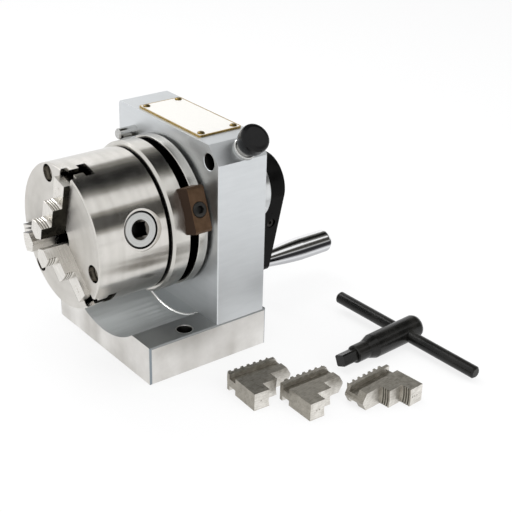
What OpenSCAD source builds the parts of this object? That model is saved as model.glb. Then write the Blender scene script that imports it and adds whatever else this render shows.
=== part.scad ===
// Punch former: a bench fixture that grips a punch blank in a three-jaw self-centring chuck and
// turns it under a grinding wheel between an adjustable dog and a fixed stop pin.
// The spindle runs along Y. The chuck faces -Y, the crank is behind, and Z = 0 is the ground base.
// The chuck key and a spare set of outside jaws stand beside it.

/* [Base] */
// Width of the base across the spindle
base_w = 122.6; // [121:0.2:134]
// Length of the base along the spindle
base_l = 97.5; // [97:0.5:112]
// Height of the base
base_h = 28.5; // [26:0.5:30]
// Height of the spindle above the bench
axis_h = 95.1; // [94:0.1:100]
// Radius of the trough milled under the chuck
trough_r = 63.6; // [60:0.2:68]
// Height of the lowest line of the trough
trough_floor = 15.4; // [13:0.2:17]
// Distance between the two holes that bolt the base to a table
table_hole_pitch = 104; // [100:1:106]
// Bore of the two table holes
table_hole_d = 11; // [9:0.5:12]
// Distance of the table holes in front of the middle of the base
table_hole_front = 14.8; // [10:0.2:24]

/* [Upright] */
// Step from each side of the base in to the side of the upright
upright_step = 0.4; // [0.1:0.1:1]
// Thickness of the upright along the spindle
upright_t = 39.9; // [39.8:0.1:42]
// Ledge of the base behind the upright
rear_ledge = 2.35; // [1:0.05:2.6]
// Height of the top of the upright
upright_top = 156.9; // [156:0.1:160]
// Corner cut that carries the index plunger
corner_cut = 11.5; // [11.3:0.1:12]
// Corner cut on the other side
small_cut = 2.5; // [1:0.1:4]

/* [Spindle] */
// Diameter of the long bore through the spindle
spindle_bore_d = 18; // [12:0.5:19]
// Journal in the front bush
front_journal_d = 40; // [39:0.5:41]
// Journal in the rear bush
rear_journal_d = 32; // [31:0.5:33]
// Thread of the lock nut
nut_thread_d = 28; // [27:0.5:30]
// Seat of the crank
crank_seat_d = 22; // [20:0.5:24]
// Diameter of the slotted ring and of the chuck plate
ring_d = 106; // [105:0.2:107]
// Thickness of the slotted ring behind its groove
ring_t = 7.4; // [7:0.1:7.8]
// Width of the groove for the dog
groove_w = 6.9; // [6.5:0.1:7.1]
// Diameter of the floor of the groove
groove_d = 88; // [86:0.5:89]
// Gap between the slotted ring and the upright
ring_gap = 2.2; // [1.8:0.1:2.5]
// Number of index notches
notches = 24; // [12:12:24]
// Diameter of the index ring
index_d = 54; // [53:0.5:54.4]

/* [Chuck] */
// Outer diameter of the chuck
chuck_d = 100; // [99:0.5:102]
// Length of the chuck body
chuck_l = 53.3; // [53:0.1:56]
// Thickness of the chuck plate
plate_t = 13; // [12.8:0.1:14]
// Through bore at the face of the chuck
chuck_bore_d = 22; // [18:0.5:24]
// Angle of the first key socket from +X towards +Z
key_angle = 16.3; // [14:0.1:19]
// Distance of the key sockets behind the chuck face
key_depth = 34.2; // [34:0.1:34.6]
// Diameter of the pinion head that holds the key socket
pinion_head_d = 23.4; // [22.8:0.1:24]
// Side of the square key socket
socket_w = 9.2; // [8:0.1:10]
// Diameter of the scroll plate
scroll_d = 77; // [76.4:0.1:77.4]
// Radial pitch of the scroll thread
scroll_pitch = 5; // [5:0.1:5.2]
// Teeth on the back of the scroll plate
scroll_teeth = 48; // [48:48:48]
// Teeth on each pinion
pinion_teeth = 12; // [12:12:12]
// Wall between the scroll chamber and the screws that hold the chuck
mount_wall = 1.2; // [1:0.1:1.6]
// Counterbore of the screws that hold the chuck
mount_bore_d = 12.2; // [11:0.2:12.4]

/* [Jaws] */
// Width of a jaw
jaw_w = 12.8; // [12:0.1:13.4]
// Length of a jaw
jaw_l = 40.5; // [39:0.5:42]
// Distance of each jaw tip from the spindle line at rest
jaw_open = 4.4; // [4:0.1:5]
// Heights of the three lands above the chuck face
land_heights = [4, 10.7, 18];
// Distances of the two steps from the spindle line at rest
step_radii = [28.6, 16.6];
// Heights of the three lands of a spare jaw above its tooth tips
spare_lands = [19.1, 26.8, 34.8];
// Lengths of the two higher lands of a spare jaw
spare_steps = [23, 11.4];
// Height of the jaw teeth
tooth_h = 2.8; // [2.4:0.1:2.9]

/* [Stops] */
// Angle of the dog from +X towards +Z at rest
dog_angle = 21.4; // [15:0.1:30]
// Length of the dog round the ring
dog_l = 31; // [26:0.5:32]
// Width of the dog along the spindle
dog_w = 12.8; // [11:0.1:13]
// Height of the dog above the ring
dog_h = 10.5; // [9.5:0.1:11]
// Diameter of the stop pin
stop_d = 8; // [6:0.5:10]
// How far the stop pin stands out of the upright
stop_out = 14.9; // [12:0.1:16]
// Place of the stop pin across and up the upright
stop_at = [-39.2, 140.2];

/* [Index plunger] */
// Distance of the plunger behind the front face of the upright
plunger_back = 24.5; // [24:0.1:25]
// Diameter of the plunger barrel
barrel_d = 14; // [13:0.5:15]
// Diameter of the collar on the corner cut
collar_d = 16.4; // [16:0.2:18]
// Widest diameter of the knob
knob_d = 20.4; // [19:0.2:22]
// Diameter of the foot of the knob
knob_foot_d = 15.4; // [15:0.2:16.2]
// Length of the knob
knob_l = 12.2; // [11.6:0.1:14]
// Travel of the plunger into a notch
plunger_travel = 3.2; // [2.8:0.1:3.2]

/* [Crank] */
// Diameter of the rear housing that stands behind the upright
boss_d = 50.8; // [48:0.2:54]
// Length that the rear housing stands out
boss_l = 33.6; // [30:0.1:36]
// Diameter of the crank hub
hub_d = 45; // [44:0.5:47]
// Thickness of the crank
crank_t = 14.2; // [13.5:0.1:16]
// Throw of the crank
crank_throw = 66.2; // [62:0.1:70]
// Diameter of the small end of the crank
crank_end_d = 14.6; // [14:0.1:18]
// Length of the turning handle
handle_l = 62.8; // [55:0.1:66]
// Diameters of the handle at its root, its belly and its end
handle_ds = [12.6, 18.6, 18];

/* [Loose parts] */
// Length of the tommy bar of the chuck key
bar_l = 131.8; // [120:0.2:140]
// Diameter of the tommy bar
bar_d = 9; // [8:0.2:9.6]
// Diameter of the body of the chuck key
key_d = 17.6; // [17:0.2:19]
// Diameter of the neck of the chuck key
key_neck_d = 12.8; // [12.4:0.2:14]
// Length of the body of the chuck key
key_l = 78; // [76:0.5:84]
// Turn of the chuck key on the bench, away from the spindle's direction
key_turn = 3.8; // [0:0.1:10]
// Roll of the chuck key about its own line
key_roll = 1.8; // [0:0.1:3]
// Place of the key's square tip on the bench
key_at = [122.2, 66.7];
// Places of the teeth and tips of the spare jaws on the bench
spare_at = [[93.3, 31.5], [122.3, 52.5], [149.2, 44.4]];
// Turns of the spare jaws on the bench
spare_turns = [-2.9, -1.1, 4.9];

/* [Hidden] */
$fn = 96;

// Clearances: a seat inside one assembly, a running fit, a jaw way, and free air
seat = 0.02;
run = 0.04;
way = 0.1;
free = 0.3;
// Overrun of a cut past the face that it opens
cut = 1;

// Screw sizes as [thread, head diameter, head height, key size]
m4 = [4, 7, 4, 3];
m6 = [6, 10, 6, 5];
m8 = [8, 13, 8, 6];

upright_w = base_w - 2 * upright_step;

// Places along Y
upright_back = base_l / 2 - rear_ledge;
upright_front = upright_back - upright_t;

// Stations along the spindle, measured from Y = 0 towards the chuck face
upright_a = -upright_front;
ring_a = upright_a + ring_gap;
groove_a = ring_a + ring_t;
plate_a = groove_a + groove_w;
plate_relief = 1.6;
plate_front_a = plate_a + plate_t;
chuck_a = plate_front_a + plate_relief;
face_a = chuck_a + chuck_l;
boss_a = -upright_back - boss_l;
crank_a = boss_a - 0.4;
crank_back_a = crank_a - crank_t;
plunger_a = upright_a - plunger_back;

// Radii of the turned parts
chuck_r = chuck_d / 2;
ring_r = ring_d / 2;
groove_r = groove_d / 2;
bore_r = spindle_bore_d / 2;
front_r = front_journal_d / 2;
rear_r = rear_journal_d / 2;
nut_r = nut_thread_d / 2;
seat_r = crank_seat_d / 2;
index_r = index_d / 2;
boss_r = boss_d / 2;

// The index ring runs in a chamber between the two bushes
chamber_r = index_r + 1;
index_t = 11.6;
index_seat_r = front_r - 2;
index_front_a = plunger_a + index_t / 2;
front_bush_l = upright_a - index_front_a - 2.2;
front_bush_r = front_r + 5;
rear_bush_r = rear_r + 4;
washer_r = front_r + 9;
notch_depth = 2.8;
notch_r = 2.5;

// The rear housing sits in a counterbore of the upright
flange_t = 6;
flange_r = 36;
flange_screw_r = (boss_r + flange_r) / 2 + 0.2;
housing_lip = 2;

// The slotted ring and the chuck plate hold the tee nut between them
tee_r = groove_r + 3.4;
tee_side = 2;
pilot_r = 24;
pilot_h = 3;
flange_back_a = ring_a + 5;
flange_pin_r = 2.5;
plate_screw_r = 31;
plate_screws_n = 6;

// Inside the chuck, measured from its face
way_front = 4.6;
rib_t = 6.8;
way_floor = 17.9;
rib_top_a = face_a - way_front;
rib_bottom_a = rib_top_a - rib_t;
way_floor_a = face_a - way_floor;
jaw_guide_t = 2.6;
jaw_back_a = rib_bottom_a - 2 * way - jaw_guide_t;
cavity_front_a = jaw_back_a - way;
thread_top_a = cavity_front_a - 2 * way;
thread_h = tooth_h + way;
scroll_face_a = thread_top_a - thread_h;
tooth_tip_a = jaw_back_a - tooth_h;
way_half = jaw_w / 2 + way;
neck_half = 2.8;
neck_jaw_half = neck_half - way;
scroll_r = scroll_d / 2;
cavity_r = scroll_r + free;
hub_r = 17.8;
key_a = face_a - key_depth;
cover_t = 4.6;
cover_back_a = chuck_a + 3;
hub_end_a = cover_back_a + cover_t;
spigot_h = cover_back_a - chuck_a - way;
jaw_angle = key_angle + 60;
mount_r = cavity_r + mount_wall + m6[0] / 2;
mount_angle = jaw_angle + 30;

// Bevel gearing between the scroll plate and the pinions
gear_r = 38;
gear_in_r = 29;
pinion_pitch_r = gear_r * pinion_teeth / scroll_teeth;
module_out = 2 * gear_r / scroll_teeth;
addendum = 0.68 * module_out;
dedendum = 0.9 * module_out;
backlash = 0.24;
pressure = 20;
half_tooth = PI * module_out / 4 - backlash / 2;
cone_rise = pinion_pitch_r / gear_r;
pinion_face_r = chuck_r - 2.7;
spot_r = 14;
spot_face_r = pinion_face_r + 0.2;
head_r = pinion_head_d / 2;
tail_r = 3.5;
pin_groove = [41, 44.2];
pin_groove_depth = 1.7;
pin_r = 1.5;

// Scroll thread and jaw teeth
ridge_half = 1.15;
jaw_tooth_half = 1.1;
jaw_tooth_w = 11;
jaw_nose = 0.7;
spare_arc_r = 30;
thread_start = 19.6;
thread_end = 37.2;

// The dog seats on the two rims of the groove
dog_seat_r = ring_r + 0.06;
dog_top_r = ring_r + dog_h;
dog_a = (groove_a + plate_a) / 2 + 0.4;
tee_l = 17;
tee_h = 2.8;
tee_bottom_r = groove_r + 0.3;

// The plunger lies on a 45 degree radius of the spindle
cut_s = ((upright_w / 2 - corner_cut) + (upright_top - axis_h)) / sqrt(2);
collar_t = 2.4;
stem_top_s = cut_s + 7.4;
stem_r = 6.3;
barrel_in_s = chamber_r + 6;
rod_r = 3;
bolt_r = 5;
chamber_top_s = cut_s - 12;
bolt_l = 13;
tip_s = index_r - notch_depth + 0.3 + plunger_travel;
knob_in_s = cut_s + collar_t + plunger_travel + 0.2;
tip_l = 5;
bolt_in_s = tip_s + tip_l;
bolt_out_s = bolt_in_s + bolt_l;
knob_end = knob_in_s + knob_l;
lock_s = cut_s - 7.6;

// Screws between the base and the upright
foot_x = 46;
foot_y = [upright_front + 9.5, upright_back - 9.4];
dowel_x = 25;
dowel_r = 3;
plate_size = [74, 35, 1];
plate_at = [-2, (upright_front + upright_back) / 2 + 0.6];
rivet_in = 4.2;

// Chuck key, measured from the end of its square tip
key_tip = socket_w - 1;
tip_l_key = 13.2;
neck_end = 24.5;
cone_end = 31;
bar_at = 63.3;
bar_shift = 1.9;
tip_roll = 24.3;

// Crank clamp
clamp_drop = 27.5;
slit_w = 2;
slit_end = 37;
flank_dip = 0.06;
nut_h = 5.6;
nut_out_r = nut_r + 4.4;

function quarter(x, y) = [[x, y], [-x, y], [-x, -y], [x, -y]];
function involute(a) = tan(a) - a * PI / 180;

// Half thickness of a pinion tooth at radius q of its outer section
function flank(q) =
    let (base = pinion_pitch_r * cos(pressure))
    let (a = q > base ? acos(base / q) : 0)
    q * (half_tooth / pinion_pitch_r + involute(pressure) - involute(a));

// Puts children on the spindle line, with their +Z towards the chuck face
module on_axis(a = 0) {
    translate([0, 0, axis_h]) rotate([90, 0, 0]) translate([0, 0, a]) children();
}

// Puts children on a radius of the spindle, with their +Z pointing outwards
module radial(a, angle) {
    on_axis(a) rotate([0, 0, angle]) rotate([0, 90, 0]) children();
}

// Puts children on the plunger's line
module on_plunger() {
    radial(plunger_a, 45) children();
}

module ring(r_out, r_in, h) {
    difference() {
        cylinder(r = r_out, h = h);
        translate([0, 0, -cut]) cylinder(r = r_in, h = h + 2 * cut);
    }
}

// Rectangle with its corners cut off
module cut_rectangle(w, h, c) {
    polygon([
        [c, 0], [w - c, 0], [w, c], [w, h - c],
        [w - c, h], [c, h], [0, h - c], [0, c]
    ]);
}

// Block with the edges along Y and Z cut off
module cut_block(w, l, h, c) {
    intersection() {
        translate([-w / 2, l / 2, 0])
            rotate([90, 0, 0])
                linear_extrude(l) cut_rectangle(w, h, c);
        translate([-w / 2, -l / 2, -cut])
            linear_extrude(h + 2 * cut) cut_rectangle(w, l, c);
    }
}

// Socket screw with its seat at Z = 0, its head above and its shank below
module socket_screw(m, l) {
    r = m[0] / 2;
    head = m[1] / 2;
    difference() {
        rotate_extrude() polygon([
            [0, -l], [r - 0.6, -l], [r, -l + 0.6], [r, 0], [head, 0],
            [head, m[2] - 0.5], [head - 0.5, m[2]], [0, m[2]]
        ]);
        translate([0, 0, m[2] - 0.55 * m[2]])
            cylinder(d = m[3] * 2 / sqrt(3), h = m[2], $fn = 6);
    }
}

// Hole for a socket screw, its counterbore open upwards from Z = 0
module screw_hole(m, l, deep, thread = false) {
    translate([0, 0, -l]) cylinder(r = m[0] / 2 + (thread ? seat : 0.3), h = l + deep);
    cylinder(r = m[1] / 2 + 0.3, h = deep);
}

module base() {
    color("gainsboro") difference() {
        cut_block(base_w, base_l, base_h, 1);
        translate([0, upright_front, trough_floor + trough_r])
            rotate([90, 0, 0])
                cylinder(r = trough_r, h = base_l, $fn = 160);
        for (x = [-1, 1])
            translate([x * table_hole_pitch / 2, -table_hole_front, -cut])
                cylinder(d = table_hole_d, h = base_h + 2 * cut);
        for (x = [-foot_x, foot_x], y = foot_y)
            translate([x, y, m8[2] + 1])
                rotate([180, 0, 0])
                    screw_hole(m8, base_h, m8[2] + 2);
        for (x = [-dowel_x, dowel_x])
            translate([x, (foot_y[0] + foot_y[1]) / 2, base_h - 12])
                cylinder(r = dowel_r + seat, h = 12 + cut);
    }
}

// Outline of the upright seen from the chuck side
module upright_outline() {
    w = upright_w / 2;
    polygon([
        [-w, base_h], [w, base_h], [w, upright_top - corner_cut],
        [w - corner_cut, upright_top], [-w + small_cut, upright_top],
        [-w, upright_top - small_cut]
    ]);
}

module upright() {
    color("silver") difference() {
        intersection() {
            translate([0, upright_back, 0]) rotate([90, 0, 0])
                linear_extrude(upright_t) upright_outline();
            translate([-upright_w / 2, upright_front, 0])
                linear_extrude(upright_top + cut) cut_rectangle(upright_w, upright_t, 0.6);
        }
        on_axis(-base_l) cylinder(r = front_bush_r + seat, h = 2 * base_l);
        on_axis(-base_l) cylinder(r = chamber_r, h = base_l + upright_a - front_bush_l);
        on_axis(-upright_back - cut) cylinder(r = flange_r + seat, h = flange_t + cut);
        for (q = [0:90:270])
            on_axis(-upright_back + flange_t)
                rotate([0, 0, q])
                    translate([flange_screw_r, 0, -cut])
                        cylinder(r = m4[0] / 2 + seat, h = 10 + cut);
        on_plunger() translate([0, 0, chamber_r - 2])
            cylinder(r = barrel_d / 2 + seat, h = cut_s);
        on_axis() rotate([0, 0, 45]) translate([lock_s, 0, plunger_a])
            cylinder(r = 5.25, h = plunger_back + cut);
        on_axis() rotate([0, 0, 45]) translate([lock_s, 0, upright_a - 0.8])
            cylinder(r1 = 5.25, r2 = 6.2, h = 0.9);
        translate([stop_at[0], upright_front - cut, stop_at[1]]) rotate([-90, 0, 0])
            cylinder(d = stop_d + 2 * seat, h = 15 + cut);
        for (x = [-foot_x, foot_x], y = foot_y)
            translate([x, y, base_h - cut]) cylinder(r = m8[0] / 2 + seat, h = 20 + cut);
        for (x = [-dowel_x, dowel_x])
            translate([x, (foot_y[0] + foot_y[1]) / 2, base_h - cut])
                cylinder(r = dowel_r + seat, h = 12 + cut);
        for (p = quarter(plate_size[0] / 2 - rivet_in, plate_size[1] / 2 - rivet_in))
            translate([plate_at[0] + p[0], plate_at[1] + p[1], upright_top - 6])
                cylinder(r = 1.4 + seat, h = 7);
    }
}

module housing_screws() {
    color("dimgray")
        for (x = [-foot_x, foot_x], y = foot_y)
            translate([x, y, m8[2] + 1]) rotate([180, 0, 0]) socket_screw(m8, 38);
}

module locating_dowels() {
    color("lightgray")
        for (x = [-dowel_x, dowel_x])
            translate([x, (foot_y[0] + foot_y[1]) / 2, base_h - 11.8])
                cylinder(r = dowel_r, h = 23.6);
}

module nameplate() {
    color("gold") difference() {
        translate([plate_at[0] - plate_size[0] / 2, plate_at[1] - plate_size[1] / 2, upright_top])
            linear_extrude(plate_size[2])
                cut_rectangle(plate_size[0], plate_size[1], 1.2);
        for (p = quarter(plate_size[0] / 2 - rivet_in, plate_size[1] / 2 - rivet_in))
            translate([plate_at[0] + p[0], plate_at[1] + p[1], upright_top - cut])
                cylinder(r = 1.4 + seat, h = 3);
    }
}

module nameplate_rivets() {
    color("goldenrod")
        for (p = quarter(plate_size[0] / 2 - rivet_in, plate_size[1] / 2 - rivet_in))
            translate([plate_at[0] + p[0], plate_at[1] + p[1], upright_top])
                rotate_extrude($fn = 32) polygon([
                    [0, -5.6], [1.4, -5.6], [1.4, plate_size[2]], [2.6, plate_size[2]],
                    [2.3, plate_size[2] + 0.7], [1.3, plate_size[2] + 1.2], [0, plate_size[2] + 1.3]
                ]);
}

module stop_pin() {
    r = stop_d / 2;
    color("lightgray")
        translate([stop_at[0], upright_front, stop_at[1]]) rotate([90, 0, 0])
            rotate_extrude() polygon([
                [0, -14.8], [r, -14.8], [r, stop_out - 1], [r - 1, stop_out], [0, stop_out]
            ]);
}

// Grub screw that holds the plunger barrel from the front face
module plunger_lock_screw() {
    color("dimgray")
        on_axis() rotate([0, 0, 45]) translate([lock_s, 0, 0]) difference() {
            translate([0, 0, plunger_a + barrel_d / 2 + way]) cylinder(r = 5.2, h = 10);
            translate([0, 0, plunger_a + barrel_d / 2 + 5])
                cylinder(d = 5.6 * 2 / sqrt(3), h = 10, $fn = 6);
        }
}

module plunger_barrel() {
    r = barrel_d / 2;
    color("silver") on_plunger() difference() {
        rotate_extrude() polygon([
            [0, barrel_in_s], [r - 0.6, barrel_in_s], [r, barrel_in_s + 0.6], [r, cut_s],
            [collar_d / 2, cut_s], [collar_d / 2, cut_s + collar_t - 0.7],
            [collar_d / 2 - 0.7, cut_s + collar_t], [stem_r, cut_s + collar_t],
            [stem_r, stem_top_s - 0.5], [stem_r - 0.5, stem_top_s], [0, stem_top_s]
        ]);
        translate([0, 0, barrel_in_s - cut])
            cylinder(r = bolt_r + run, h = chamber_top_s - barrel_in_s + cut);
        translate([0, 0, barrel_in_s]) cylinder(r = rod_r + run, h = stem_top_s);
    }
}

// The tapered tip enters a notch of the index ring
module plunger_pin() {
    color("lightgray") on_plunger()
        rotate_extrude() polygon([
            [0, tip_s], [notch_r - 0.75, tip_s], [notch_r - 0.25, tip_s + notch_depth],
            [notch_r - 0.25, bolt_in_s - 1], [bolt_r - 0.5, bolt_in_s - 0.5], [bolt_r, bolt_in_s],
            [bolt_r, bolt_out_s - 0.4], [bolt_r - 0.4, bolt_out_s], [rod_r, bolt_out_s],
            [rod_r, knob_end - 4], [0, knob_end - 4]
        ]);
}

// Round wire coil: rings of points along a helix, joined in bands
module plunger_spring() {
    wire = 0.55;
    mean = 4.1;
    turns = 6;
    steps = 12;
    sides = 6;
    low = bolt_out_s + wire + 0.1;
    high = chamber_top_s - wire - 0.1;
    rings = turns * steps;
    points = [
        for (i = [0:rings], j = [0:sides - 1])
            let (t = i * 360 / steps, q = j * 360 / sides, r = mean + wire * cos(q))
            [r * cos(t), r * sin(t), low + (high - low) * i / rings + wire * sin(q)]
    ];
    bands = [
        for (i = [0:rings - 1], j = [0:sides - 1])
            let (k = (j + 1) % sides)
            [i * sides + j, i * sides + k, (i + 1) * sides + k, (i + 1) * sides + j]
    ];
    ends = [
        [for (j = [0:sides - 1]) sides - 1 - j],
        [for (j = [0:sides - 1]) rings * sides + j]
    ];
    color("gray") on_plunger() polyhedron(points, concat(bands, ends));
}

// Knob that widens in a quarter wave from a foot that runs over the stem of the barrel
module plunger_knob() {
    r = knob_d / 2;
    foot = knob_foot_d / 2;
    rise = knob_l - 4.5;
    flare = [for (q = [10:16:90]) [
        foot + (r - foot) * sin(q), knob_in_s + 0.5 + rise * (1 - cos(q))
    ]];
    color("black") on_plunger() difference() {
        rotate_extrude() polygon(concat(
            [[0, knob_in_s], [foot - 0.4, knob_in_s], [foot, knob_in_s + 0.5]], flare,
            [[r, knob_end - 2], [r - 0.4, knob_end - 0.9], [r - 1.4, knob_end - 0.2]],
            [[r - 3, knob_end], [0, knob_end]]
        ));
        translate([0, 0, knob_in_s - cut])
            cylinder(r = stem_r + free, h = stem_top_s + plunger_travel + free - knob_in_s + cut);
        translate([0, 0, knob_in_s]) cylinder(r = rod_r + seat, h = knob_end - knob_in_s - 3.9);
    }
}

module front_bush() {
    color("peru") on_axis(upright_a - front_bush_l)
        ring(front_bush_r, front_r + run, front_bush_l);
}

module thrust_washer() {
    color("peru") on_axis(upright_a) translate([0, 0, 0.05])
        ring(washer_r, front_r + way, ring_gap - 0.1);
}

module rear_housing() {
    flange_a = -upright_back;
    color("silver") difference() {
        on_axis() rotate_extrude() polygon([
            [rear_r + 1, boss_a], [boss_r - 0.8, boss_a], [boss_r, boss_a + 0.8],
            [boss_r, flange_a], [flange_r, flange_a], [flange_r, flange_a + flange_t],
            [rear_bush_r + seat, flange_a + flange_t],
            [rear_bush_r + seat, boss_a + housing_lip], [rear_r + 1, boss_a + housing_lip]
        ]);
        for (q = [0:90:270])
            on_axis(flange_a + 4.2) rotate([0, 0, q]) translate([flange_screw_r, 0, 0])
                rotate([180, 0, 0]) screw_hole(m4, 6, 5);
    }
}

module rear_housing_screws() {
    color("dimgray")
        for (q = [0:90:270])
            on_axis(-upright_back + 4.2) rotate([0, 0, q]) translate([flange_screw_r, 0, 0])
                rotate([180, 0, 0]) socket_screw(m4, 10);
}

module rear_bush() {
    a = boss_a + housing_lip;
    color("peru") on_axis(a)
        ring(rear_bush_r, rear_r + run, -upright_back + flange_t - a);
}

// Hollow spindle: its head pulls the slotted flange back against the thrust washer
module spindle() {
    index_back_a = plunger_a - index_t / 2;
    step_a = -upright_back + flange_t + 1;
    end_a = crank_back_a + 0.6;
    thread_end_a = crank_a - nut_h - 0.2;
    color("silver") difference() {
        on_axis() rotate_extrude($fn = 128) polygon([
            [bore_r, end_a], [seat_r - 0.8, end_a], [seat_r, end_a + 0.8],
            [seat_r, thread_end_a], [nut_r, thread_end_a], [nut_r, boss_a - 0.1],
            [rear_r, boss_a - 0.1], [rear_r, step_a], [index_seat_r, step_a],
            [index_seat_r, index_front_a], [front_r, index_front_a],
            [front_r, flange_back_a], [pilot_r, flange_back_a],
            [pilot_r, plate_a + pilot_h - 0.5], [pilot_r - 0.5, plate_a + pilot_h],
            [bore_r + 1, plate_a + pilot_h], [bore_r, plate_a + pilot_h - 1]
        ]);
        flange_pin_bores(0);
        on_axis(index_back_a + 0.6) translate([index_seat_r - 2.4, -2.52, 0])
            cube([4, 5.04, index_t - 1]);
    }
}

// Slotted flange that carries the dog and the chuck plate
module slotted_flange() {
    color("silver") difference() {
        on_axis() rotate_extrude($fn = 128) polygon([
            [front_r + seat, ring_a], [ring_r - 0.6, ring_a], [ring_r, ring_a + 0.6],
            [ring_r, groove_a - 0.3], [ring_r - 0.3, groove_a], [tee_r, groove_a],
            [tee_r, groove_a - tee_side], [groove_r, groove_a - tee_side], [groove_r, plate_a],
            [pilot_r + seat, plate_a], [pilot_r + seat, flange_back_a],
            [front_r + seat, flange_back_a]
        ]);
        for (i = [0:plate_screws_n - 1])
            on_axis(plate_a - 12.5) rotate([0, 0, i * 360 / plate_screws_n])
                translate([plate_screw_r, 0, 0]) cylinder(r = m6[0] / 2 + seat, h = 14);
        flange_pin_bores(cut);
    }
}

// Puts children at the bottom of the three pin holes between the head and the flange
module at_flange_pins() {
    for (q = [30:120:270])
        on_axis(flange_back_a + 0.5) rotate([0, 0, q]) translate([pilot_r, 0, 0]) children();
}

module flange_pin_bores(past) {
    at_flange_pins()
        cylinder(r = flange_pin_r + seat, h = plate_a - flange_back_a - 0.5 + past);
}

// Pins half in the spindle's head and half in the flange, so that they turn together
module flange_pins() {
    color("lightgray") at_flange_pins() translate([0, 0, 0.2])
        cylinder(r = flange_pin_r, h = plate_a - flange_back_a - 0.9);
}

// Ring with tapered notches every 15 degrees
module index_ring() {
    back_a = plunger_a - index_t / 2;
    color("lightgray") difference() {
        on_axis(back_a) ring(index_r, index_seat_r + seat, index_t);
        for (i = [0:notches - 1])
            radial(plunger_a, 45 + i * 360 / notches)
                translate([0, 0, index_r - notch_depth])
                    cylinder(r1 = notch_r - 0.5, r2 = notch_r + 0.1, h = notch_depth + 0.6, $fn = 24);
        on_axis(back_a - cut) translate([index_seat_r - 1, -2.52, 0])
            cube([3.4, 5.04, index_t + 2 * cut]);
    }
}

module index_key() {
    color("dimgray")
        on_axis(plunger_a - index_t / 2 + 0.8) translate([index_seat_r - 2.3, -2.5, 0])
            cube([4.6, 5, index_t - 1.6]);
}

module lock_nut() {
    color("dimgray") on_axis(crank_a - nut_h + 0.3) difference() {
        ring(nut_out_r, nut_r + seat, nut_h);
        for (q = [0:90:270])
            rotate([0, 0, q]) translate([nut_out_r - 2, -1.5, -cut]) cube([4, 3, nut_h + 2 * cut]);
    }
}

module chuck_plate() {
    color("silver") difference() {
        on_axis() rotate_extrude($fn = 128) polygon([
            [pilot_r + seat, plate_a], [groove_r, plate_a], [groove_r, plate_a + tee_side],
            [tee_r, plate_a + tee_side], [tee_r, plate_a], [ring_r - 0.3, plate_a],
            [ring_r, plate_a + 0.3], [ring_r, plate_front_a - 1.6], [ring_r - 1.6, plate_front_a],
            [chuck_r - 1.4, plate_front_a], [chuck_r - 1.4, chuck_a],
            [cavity_r - seat, chuck_a], [cavity_r - seat, chuck_a + spigot_h - 0.4],
            [cavity_r - 0.5, chuck_a + spigot_h], [bore_r + 1, chuck_a + spigot_h],
            [bore_r + 1, plate_a + pilot_h + 0.2], [pilot_r + seat, plate_a + pilot_h + 0.2]
        ]);
        for (i = [0:plate_screws_n - 1])
            on_axis(chuck_a - 4) rotate([0, 0, i * 360 / plate_screws_n])
                translate([plate_screw_r, 0, 0]) screw_hole(m6, plate_t + 4, 8);
        for (q = [0:120:240])
            on_axis(plate_a + 3.4) rotate([0, 0, mount_angle + q]) translate([mount_r, 0, 0])
                cylinder(r = m6[0] / 2 + seat, h = chuck_l);
    }
}

module plate_screws() {
    color("dimgray")
        for (i = [0:plate_screws_n - 1])
            on_axis(chuck_a - 4) rotate([0, 0, i * 360 / plate_screws_n])
                translate([plate_screw_r, 0, 0]) socket_screw(m6, plate_t + 9);
}

// One jaw way: a slot whose two ribs reach into the grooves of the jaw
module jaw_way() {
    long = chuck_r + cut;
    translate([0, -way_half, rib_top_a]) cube([long, 2 * way_half, way_front + cut]);
    translate([0, -neck_half, way_floor_a]) cube([long, 2 * neck_half, way_floor]);
    translate([0, -way_half, way_floor_a])
        cube([long, 2 * way_half, rib_bottom_a - way_floor_a]);
}

module chuck_body() {
    head_a = face_a - 10;
    color("silver") difference() {
        on_axis() rotate_extrude($fn = 128) polygon([
            [chuck_bore_d / 2, hub_end_a], [hub_r, hub_end_a], [hub_r, cavity_front_a],
            [cavity_r, cavity_front_a], [cavity_r, chuck_a], [chuck_r - 0.8, chuck_a],
            [chuck_r, chuck_a + 0.8], [chuck_r, face_a - 1], [chuck_r - 1, face_a],
            [chuck_bore_d / 2 + 0.8, face_a], [chuck_bore_d / 2, face_a - 0.8]
        ]);
        for (q = [0:120:240]) {
            on_axis() rotate([0, 0, jaw_angle + q]) jaw_way();
            radial(key_a, key_angle + q) {
                translate([0, 0, cavity_r - 2])
                    cylinder(r = head_r + run, h = chuck_r);
                translate([0, 0, spot_face_r]) cylinder(r = spot_r, h = chuck_r);
                translate([0, 0, spot_face_r - 0.6])
                    cylinder(r1 = head_r + run, r2 = head_r + 0.64, h = 0.7);
                translate([0, 0, hub_r - 3.6]) cylinder(r = tail_r + run, h = 5);
            }
            on_axis(head_a) rotate([0, 0, mount_angle + q]) translate([mount_r, 0, 0]) {
                screw_hole(m6, chuck_l, 10 + cut);
                cylinder(d = mount_bore_d, h = 10 + cut);
            }
            on_axis(hub_end_a - cut) rotate([0, 0, jaw_angle + q])
                translate([(hub_r + chuck_bore_d / 2) / 2, 0, 0])
                    cylinder(r = m4[0] / 2 + seat, h = 10 + cut);
            on_axis(chuck_a - cut) rotate([0, 0, key_angle + q])
                translate([(pin_groove[0] + pin_groove[1]) / 2, 0, 0])
                    cylinder(r = pin_r + seat, h = key_a - head_r - chuck_a + 3);
        }
    }
}

module chuck_screws() {
    head_a = face_a - 10;
    color("dimgray")
        for (q = [0:120:240])
            on_axis(head_a) rotate([0, 0, mount_angle + q]) translate([mount_r, 0, 0])
                socket_screw(m6, head_a - plate_a - 3.8);
}

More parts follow.
